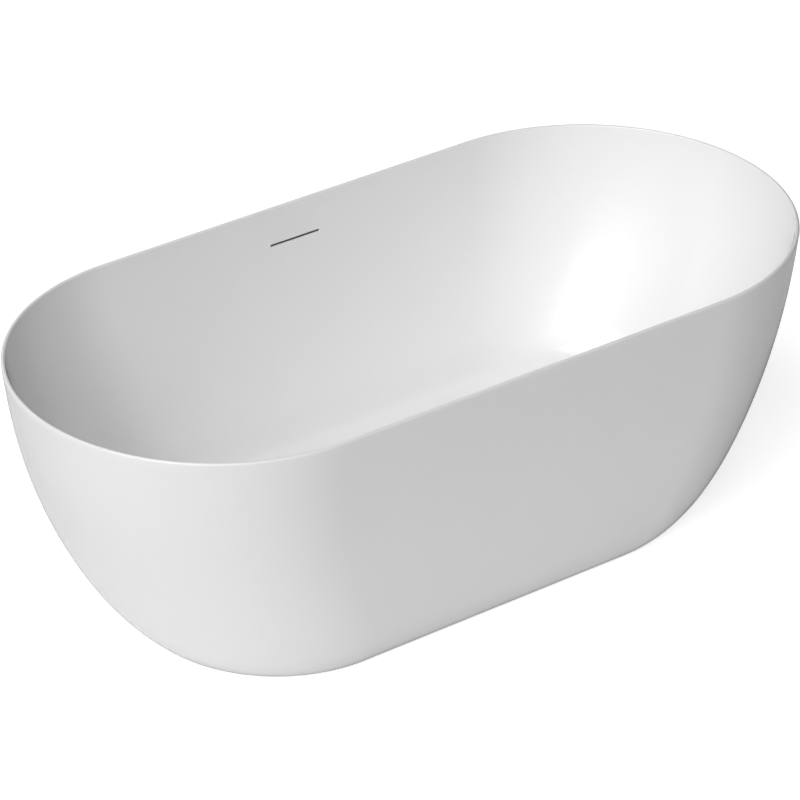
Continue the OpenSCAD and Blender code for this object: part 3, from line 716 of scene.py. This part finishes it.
pad = turned("pad", (0, 0), [
    (20.6 * MM, 0), (21.4 * MM, 0.3 * MM), (21.9 * MM, 1.2 * MM), (21.9 * MM, 3.8 * MM), (21.3 * MM, 5 * MM),
    (20 * MM, 6 * MM), (11.2 * MM, 12 * MM), (9.6 * MM, 13.6 * MM), (8.6 * MM, 14 * MM), (6.6 * MM, 14 * MM),
    (6.05 * MM, 13.4 * MM), (6.05 * MM, 5 * MM)], sides=PAD_SIDES)


def under_grip(face):
    """True for every other face round the pad's upright edge."""
    place = face.calc_center_median().xy
    step = math.degrees(math.atan2(*place)) // (360 / PAD_SIDES)
    return abs(face.normal.z) < 0.3 and place.length > 21 * MM and int(step) % 2 == 0


# Grip notches round the pads.
edit("FACE")
pick("faces", under_grip)
bpy.ops.mesh.extrude_region_move(TRANSFORM_OT_translate={"value": (0, 0, 0)})
bpy.ops.transform.resize(value=(0.965, 0.965, 1), center_override=(0, 0, 0))
leave()
for foot in FEET:
    own_stud = joined("levelling_stud_" + foot, [copied(stud, FOOT_PLACES[foot])])
    hand_over(own_stud, "screw_" + foot, "zinc_screws", ["stud_" + foot])
    own_pad = joined("foot_pad_" + foot, [copied(pad, FOOT_PLACES[foot])])
    hand_over(own_pad, "foot_" + foot, "black_plastic", ["pad_" + foot])
for pattern in (stud, pad):
    bpy.data.objects.remove(pattern)

# Overflow: gasket, chamber, ribbed hose and its clamps.
gasket = eased_copy("overflow_gasket", "slot_gasket", 0.25 * MM)
hand_over(gasket, "bath", "seal_rubber", ["overflow_gasket"])
chamber = eased_copy("overflow_box", "overflow_chamber", 0.6 * MM)
hand_over(chamber, "bath", "chamber_plastic", ["overflow_box"])
hose_low, hose_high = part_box("overflow_hose")
HOSE_FACETS = 16
HOSE = (hose_high.x - hose_low.x) / 2 * math.cos(math.pi / HOSE_FACETS)
HOSE_VALLEY = HOSE - 0.9 * MM
HOSE_SHOULDER = HOSE - 0.05 * MM
LEAN = math.radians(10.5783)
BEND = 60 * MM
hose_top = Vector((0, 371.279 * MM, 417.932 * MM))
bend_centre = Vector((0, 259.271 * MM, 145 * MM))
level_end = Vector((0, 54 * MM, 85 * MM))
RIB = 4 * MM

# The hose's middle line: a straight run down from the chamber, one bend, and a level run to the drain.
line = [hose_top]
for step in range(25):
    turn = LEAN + (math.pi / 2 - LEAN) * step / 24
    line.append(bend_centre + Vector((0, BEND * math.cos(turn), -BEND * math.sin(turn))))
line.append(level_end)
length = sum((b - a).length for a, b in zip(line, line[1:]))
path_data = bpy.data.curves.new("hose_line", "CURVE")
path_data.dimensions = "3D"
spline = path_data.splines.new("POLY")
spline.points.add(len(line) - 1)
for point, place in zip(spline.points, line):
    point.co = (*place, 1)
path = bpy.data.objects.new("hose_line", path_data)
bpy.context.scene.collection.objects.link(path)

# One rib, repeated along that line.
rib_count = int(length / RIB)
step_size = length / rib_count
bpy.ops.object.select_all(action="DESELECT")
bpy.ops.mesh.primitive_circle_add(vertices=28, radius=HOSE_VALLEY)
hose = settle("ribbed_hose")
edit()
bpy.ops.mesh.select_all(action="SELECT")
radius, height = HOSE_VALLEY, 0
for share, next_radius in ((0.25, HOSE_VALLEY), (0.38, HOSE_SHOULDER), (0.5, HOSE), (0.74, HOSE),
                           (0.87, HOSE_SHOULDER), (1, HOSE_VALLEY)):
    size = next_radius / radius
    rise = share * step_size - height
    bpy.ops.mesh.extrude_region_move(TRANSFORM_OT_translate={"value": (0, 0, rise)})
    bpy.ops.transform.resize(value=(size, size, 1), center_override=(0, 0, 0))
    radius, height = next_radius, share * step_size
leave()
modify(hose, "ARRAY", count=rib_count, use_relative_offset=False, use_constant_offset=True,
       constant_offset_displace=(0, 0, step_size), use_merge_vertices=True, merge_threshold=0.01 * MM)
modify(hose, "SOLIDIFY", thickness=1.0 * MM, offset=-1)
modify(hose, "CURVE", object=path, deform_axis="POS_Z")
bpy.data.objects.remove(path)
edit()
bpy.ops.mesh.select_all(action="SELECT")
bpy.ops.mesh.normals_make_consistent(inside=False)
leave()
hand_over(hose, "bath", "hose_plastic", ["overflow_hose"], smooth=50)

# Worm-drive clamps at both ends of the hose.
inner = HOSE / math.cos(math.pi / HOSE_FACETS) + 0.05 * MM
band = turned("band", (0, 0), [(inner, -3 * MM), (inner + 0.9 * MM, -3 * MM), (inner + 0.9 * MM, 3 * MM),
                               (inner, 3 * MM)], ring=True)
ease(band, 0.25 * MM)
housing = block("housing", Vector((inner + 0.5 * MM, -4.5 * MM, -3.2 * MM)),
                Vector((inner + 5 * MM, 4.5 * MM, 3.2 * MM)))
ease(housing, 0.8 * MM)
worm = hex_nut("worm", 3.2 * MM, 1.2 * MM, 0, 3.4 * MM)
moved(worm, (inner + 3 * MM, 8.2 * MM, 0), (math.pi / 2, 0, 0))
clamp = joined("clamp", [band, housing, worm])
along = (hose_top - line[1]).normalized()
upper = copied(clamp, hose_top - along * 12 * MM, (-LEAN, 0, 0))
lower = copied(clamp, (0, level_end.y + 6 * MM, level_end.z), (math.pi / 2, 0, 0))
bpy.data.objects.remove(clamp)
hand_over(joined("hose_clamp_set", [upper, lower]), "bath", "clamp_steel", ["hose_clamps"])

# Drain and stopper.
cap_low, cap_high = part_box("stopper_cap")
BARREL = drain_high.x - 12 * MM
BARREL_BORE = BARREL - 4 * MM
BARREL_ROOT = BARREL - 0.75 * MM
BARREL_PITCH = 2 * MM
flange = turned("flange", (0, 0), [
    (BARREL_BORE, drain_low.z), (BARREL_ROOT, drain_low.z), (BARREL_ROOT, drain_high.z - 5 * MM),
    (drain_high.x, drain_high.z - 5 * MM), (drain_high.x, drain_high.z - 1.6 * MM),
    (drain_high.x - 0.5 * MM, drain_high.z - 0.6 * MM), (drain_high.x - 1.6 * MM, drain_high.z),
    (drain_high.x - 4.1 * MM, drain_high.z), (drain_high.x - 4.5 * MM, drain_high.z - 0.4 * MM),
    (drain_high.x - 4.5 * MM, drain_high.z - 3 * MM), (BARREL_BORE + 0.4 * MM, drain_high.z - 3 * MM),
    (BARREL_BORE, drain_high.z - 3.4 * MM)], sides=96, ring=True)
tooth = thread("tooth", BARREL_ROOT - 0.05 * MM, BARREL, BARREL_PITCH, drain_low.z + MM, turns=18, steps=60)
hand_over(joined("drain_flange_turned", [flange, tooth]), "bath", "white_gloss_drain", ["drain_flange"])
cap = turned("stopper_cap_turned", (0, 0), [
    (cap_high.x - 0.6 * MM, cap_low.z), (cap_high.x - 0.1 * MM, cap_low.z + 0.4 * MM),
    (cap_high.x, cap_low.z + 0.9 * MM), (cap_high.x - 0.1 * MM, cap_low.z + 1.6 * MM),
    (cap_high.x - 0.6 * MM, cap_low.z + 2.1 * MM), (cap_high.x - 1.6 * MM, cap_low.z + 2.45 * MM),
    (24 * MM, cap_low.z + 2.85 * MM), (16 * MM, cap_low.z + 3.15 * MM), (8 * MM, cap_low.z + 3.33 * MM),
    (2 * MM, cap_high.z), (0.5 * MM, cap_high.z)], sides=96)
hand_over(cap, "stopper", "white_gloss_drain", ["stopper_cap"])
stem_low, stem_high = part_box("plunger_stem")
STEM = 4 * MM
stem = turned("stopper_stem", (0, 0), [
    (STEM - 0.8 * MM, stem_low.z), (STEM, stem_low.z + 0.8 * MM), (STEM, stem_low.z + 4 * MM),
    (STEM - 0.7 * MM, stem_low.z + 4.4 * MM), (STEM - 0.7 * MM, stem_low.z + 6 * MM),
    (STEM, stem_low.z + 6.4 * MM), (STEM, stem_high.z)], sides=48)
hand_over(stem, "stopper", "stem_steel", ["plunger_stem"])
for node, name, width, body, slot in (
        ("stopper_seal", "stopper_seal_ring", 0.3, "stopper", "seal_rubber"),
        ("drain_seal_upper", "upper_seal_ring", 0.3, "bath", "seal_rubber"),
        ("drain_seal_lower", "lower_seal_ring", 0.6, "bath", "seal_rubber"),
        ("slip_washer", "slip_washer_ring", 0.5, "bath", "seal_rubber"),
        ("drain_lock_nut", "drain_ring_nut", 0.9, "bath", "ivory_plastic"),
        ("drain_body", "drain_tee", 0.9, "bath", "ivory_plastic"),
        ("slip_nut", "slip_ring_nut", 0.9, "bath", "ivory_plastic"),
        ("tailpiece", "tail_pipe", 0.5, "bath", "ivory_plastic"),
        ("plunger_guide", "stem_guide", 0.5, "bath", "ivory_plastic")):
    hand_over(eased_copy(node, name, width * MM), body, slot, [node])

# The paste between the shells keeps its solid and takes a finish.
for place in NODES["rim_bond"].material_slots:
    place.material = FINISHES["adhesive"]

# ---------------------------------------------------------------- studio


def pale_paper(piece, tone, glow):
    """Makes a piece part of the studio, in paper that may glow a little as a lit sweep of it does."""
    material, board, shader = begin_finish(piece.name)
    shader.inputs["Base Color"].default_value = (tone, tone, tone, 1)
    shader.inputs["Emission Color"].default_value = (1, 1, 1, 1)
    shader.inputs["Emission Strength"].default_value = glow
    board.feed(shader.inputs["Roughness"], 0.8 + 0.1 * board.noise(3.0))
    piece.data.materials.append(material)
    piece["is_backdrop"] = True


def floor_sheet(name, height):
    bpy.ops.object.select_all(action="DESELECT")
    bpy.ops.mesh.primitive_plane_add(size=14, location=(0, 0, height))
    return settle(name)


# The upper sheet and the dome far around are what shows; the lower sheet, without a glow, is what
# the bath stands over and mirrors.
shown_floor = floor_sheet("floor", 0)
pale_paper(shown_floor, 0.95, 0.7)
lower_floor = floor_sheet("floor_below", -1 * MM)
pale_paper(lower_floor, 0.95, 0)
lower_floor.visible_camera = False
bpy.ops.object.select_all(action="DESELECT")
bpy.ops.mesh.primitive_uv_sphere_add(segments=32, ring_count=16, radius=40)
dome = settle("backdrop")
pale_paper(dome, 0, 1)
for sheet in (shown_floor, dome):
    sheet.visible_diffuse = False
    sheet.visible_glossy = False
    sheet.visible_shadow = False


def towards(elevation, azimuth):
    """The direction at an elevation, and at an azimuth turned from +X to +Y, in degrees."""
    rise, turn = math.radians(elevation), math.radians(azimuth)
    return Vector((math.cos(rise) * math.cos(turn), math.cos(rise) * math.sin(turn), math.sin(rise)))


LIGHT_DISTANCE = 6
MIDDLE_HEIGHT = 0.3


def softbox(name, elevation, azimuth, side, power):
    """A square studio light, aimed at the bath's middle."""
    data = bpy.data.lights.new(name, "AREA")
    data.shape = "SQUARE"
    data.size = side
    data.energy = power
    light = bpy.data.objects.new(name, data)
    way = towards(elevation, azimuth)
    light.location = way * LIGHT_DISTANCE + Vector((0, 0, MIDDLE_HEIGHT))
    light.rotation_euler = (-way).to_track_quat("-Z", "Y").to_euler()
    bpy.context.scene.collection.objects.link(light)


softbox("high_light", 62, 180, 4, 115)
softbox("left_light", 38, 216, 4, 22)
softbox("rear_light", 38, 90, 4, 23)
softbox("low_rear_light", 12, 90, 4, 16)

# The key light is a broad glow in the surroundings, from the left and above.
world = bpy.data.worlds.new("studio")
world.use_nodes = True
bpy.context.scene.world = world
sky = Board(world.node_tree)
look = sky.add("ShaderNodeTexCoord", {}, output="Generated")
inputs = {0: look, 1: towards(38, 216)}
towards_key = sky.add("ShaderNodeVectorMath", inputs, output="Value", operation="DOT_PRODUCT")
glow = sky.maths("POWER", sky.maths("MAXIMUM", towards_key, 0.0), 10.0) * 3.48
sky.feed(world.node_tree.nodes["Background"].inputs["Color"], (1, 1, 1, 1))
sky.feed(world.node_tree.nodes["Background"].inputs["Strength"], glow)

# ---------------------------------------------------------------- bounds

low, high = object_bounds()
